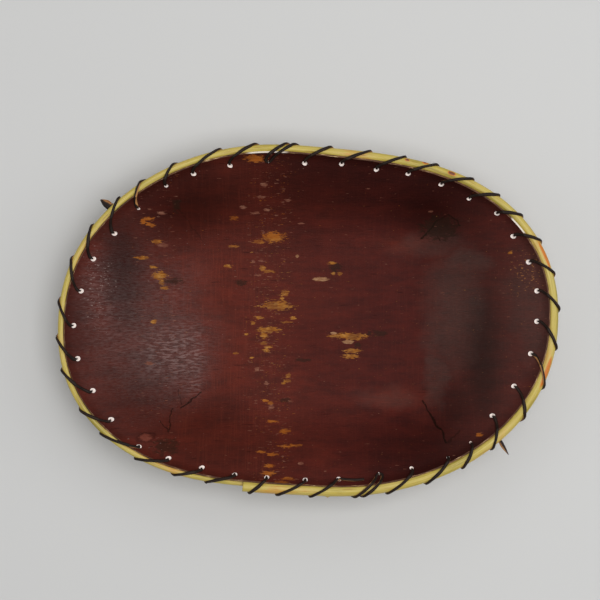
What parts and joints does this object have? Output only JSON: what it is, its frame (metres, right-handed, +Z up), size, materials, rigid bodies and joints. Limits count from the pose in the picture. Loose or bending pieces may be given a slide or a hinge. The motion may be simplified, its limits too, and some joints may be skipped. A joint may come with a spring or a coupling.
{
  "type": "birch bark tray",
  "caption": "Shallow oval tray of folded birch bark with pleated corners, a peeled shoot bent round its edge as a hoop and split roots lashed over it through a row of awl holes.",
  "frame": {"origin": "On the surface that the tray stands on, midway along its length and its width, measured over hoop and lashing.", "axes": "+X along the tray's length, to the right in the picture; +Y across it, up in the picture; +Z up, out of the mouth."},
  "size_m": [0.3222, 0.2282, 0.0489],
  "materials": {
    "bark": "satin, dark red-brown rind",
    "peeled_shoot": "smooth peeled wood, yellow",
    "split_root": "dull dark brown"
  },
  "bodies": {
    "root": {"bark_sheet": "bark", "rim_shoot": "peeled_shoot", "lashing_right": "split_root", "lashing_lower_right": "split_root", "lashing_left": "split_root", "lashing_upper_left": "split_root"}
  },
  "joints": []
}
